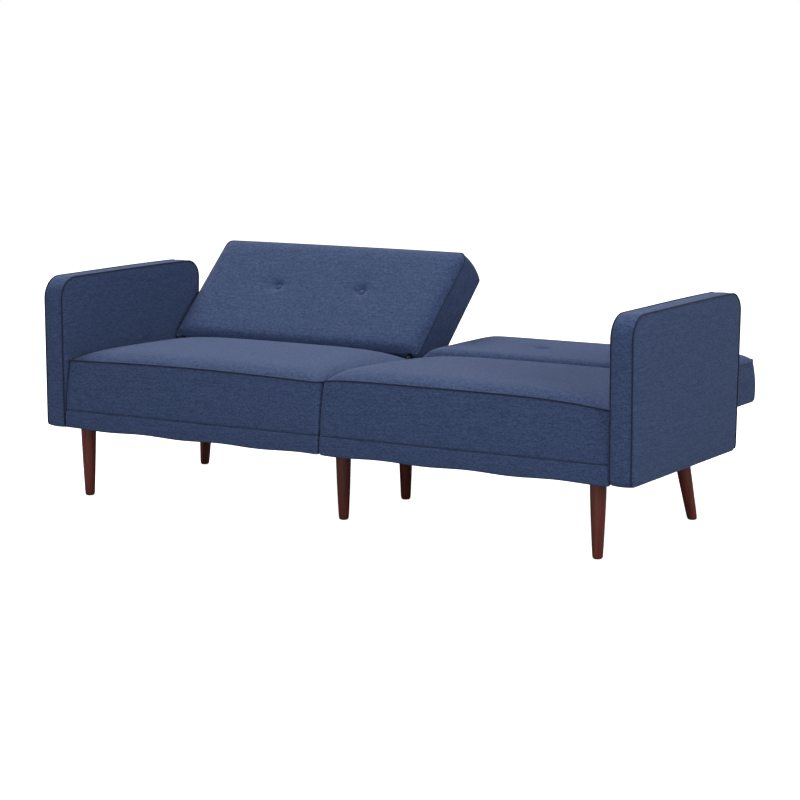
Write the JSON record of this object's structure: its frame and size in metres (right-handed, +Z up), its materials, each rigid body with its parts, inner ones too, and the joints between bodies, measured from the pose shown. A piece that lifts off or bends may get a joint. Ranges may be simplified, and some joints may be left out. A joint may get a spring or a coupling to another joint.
{
  "type": "futon sofa bed",
  "caption": "Split-back futon sofa bed: two crowned seat cushions, slab arms, tapered legs and two backs that fold flat on notched hinges.",
  "frame": {"origin": "on the floor, half way between the arms and half way between the arms' fronts and the end of the flat back", "axes": "+X towards the right arm as one faces the sofa, +Y from the front to the back, +Z up from the floor"},
  "size_m": [1.9, 0.948, 0.6808],
  "materials": {
    "navy_linen": "woven navy linen-look polyester, matt",
    "black_lining": "black non-woven lining",
    "frame_timber": "planed softwood, bare",
    "leg_wood": "turned hardwood, dark red-brown satin stain",
    "zinc_steel": "zinc-plated pressed steel",
    "black_steel": "black powder-coated pressed steel",
    "spring_steel": "drawn spring wire"
  },
  "bodies": {
    "base": {"arm_cover_left": "navy_linen", "arm_cover_right": "navy_linen", "arm_frame_left": "frame_timber", "arm_frame_right": "frame_timber", "cross_rail_left": "frame_timber", "cross_rail_right": "frame_timber", "dust_cover_left": "black_lining", "dust_cover_right": "black_lining", "front_band_left": "navy_linen", "front_band_right": "navy_linen", "front_rail_left": "frame_timber", "front_rail_right": "frame_timber", "hinge_pin_left_inner": "black_steel", "hinge_pin_left_outer": "black_steel", "hinge_pin_right_inner": "black_steel", "hinge_pin_right_outer": "black_steel", "hinge_seat_plate_left_inner": "black_steel", "hinge_seat_plate_left_outer": "black_steel", "hinge_seat_plate_right_inner": "black_steel", "hinge_seat_plate_right_outer": "black_steel", "inner_rail_left": "frame_timber", "inner_rail_right": "frame_timber", "leg_front_left": "leg_wood", "leg_front_right": "leg_wood", "leg_middle_front": "leg_wood", "leg_middle_rear": "leg_wood", "leg_plate_front_left": "zinc_steel", "leg_plate_front_right": "zinc_steel", "leg_plate_middle_front": "zinc_steel", "leg_plate_middle_rear": "zinc_steel", "leg_plate_rear_left": "zinc_steel", "leg_plate_rear_right": "zinc_steel", "leg_rear_left": "leg_wood", "leg_rear_right": "leg_wood", "outer_rail_left": "frame_timber", "outer_rail_right": "frame_timber", "rear_rail_left": "frame_timber", "rear_rail_right": "frame_timber", "seat_cushion_left": "navy_linen", "seat_cushion_right": "navy_linen", "seat_springs_left": "spring_steel", "seat_springs_right": "spring_steel"},
    "back_left": {"back_cushion_left": "navy_linen", "back_frame_left": "frame_timber", "back_panel_left": "navy_linen", "back_button_left_a": "navy_linen", "back_button_left_b": "navy_linen", "hinge_back_plate_left_inner": "black_steel", "hinge_back_plate_left_outer": "black_steel"},
    "pawl_left_inner": {"hinge_pawl_left_inner": "black_steel"},
    "pawl_left_outer": {"hinge_pawl_left_outer": "black_steel"},
    "back_right": {"back_cushion_right": "navy_linen", "back_frame_right": "frame_timber", "back_panel_right": "navy_linen", "back_button_right_a": "navy_linen", "back_button_right_b": "navy_linen", "hinge_back_plate_right_inner": "black_steel", "hinge_back_plate_right_outer": "black_steel"},
    "pawl_right_inner": {"hinge_pawl_right_inner": "black_steel"},
    "pawl_right_outer": {"hinge_pawl_right_outer": "black_steel"}
  },
  "joints": [
    {"name": "back_left_recline", "type": "hinge", "parent": "base", "child": "back_left", "pos_m": [-0.44275, 0.064, 0.402], "axis": [1, 0, 0], "range_deg": [-42.8, 35.2]},
    {"name": "back_right_recline", "type": "hinge", "parent": "base", "child": "back_right", "pos_m": [0.44275, 0.064, 0.402], "axis": [1, 0, 0], "range_deg": [0, 78]},
    {"name": "pawl_left_inner_lift", "type": "hinge", "parent": "base", "child": "pawl_left_inner", "pos_m": [-0.036, 0.07636, 0.36734], "axis": [1, 0, 0], "range_deg": [0, 10], "stiffness_Nm_per_rad": 0.3, "springref_deg": -5.73},
    {"name": "pawl_left_outer_lift", "type": "hinge", "parent": "base", "child": "pawl_left_outer", "pos_m": [-0.8495, 0.07636, 0.36734], "axis": [1, 0, 0], "range_deg": [0, 10], "stiffness_Nm_per_rad": 0.3, "springref_deg": -5.73},
    {"name": "pawl_right_inner_lift", "type": "hinge", "parent": "base", "child": "pawl_right_inner", "pos_m": [0.036, 0.07636, 0.36734], "axis": [1, 0, 0], "range_deg": [0, 10], "stiffness_Nm_per_rad": 0.3, "springref_deg": -5.73},
    {"name": "pawl_right_outer_lift", "type": "hinge", "parent": "base", "child": "pawl_right_outer", "pos_m": [0.8495, 0.07636, 0.36734], "axis": [1, 0, 0], "range_deg": [0, 10], "stiffness_Nm_per_rad": 0.3, "springref_deg": -5.73}
  ]
}
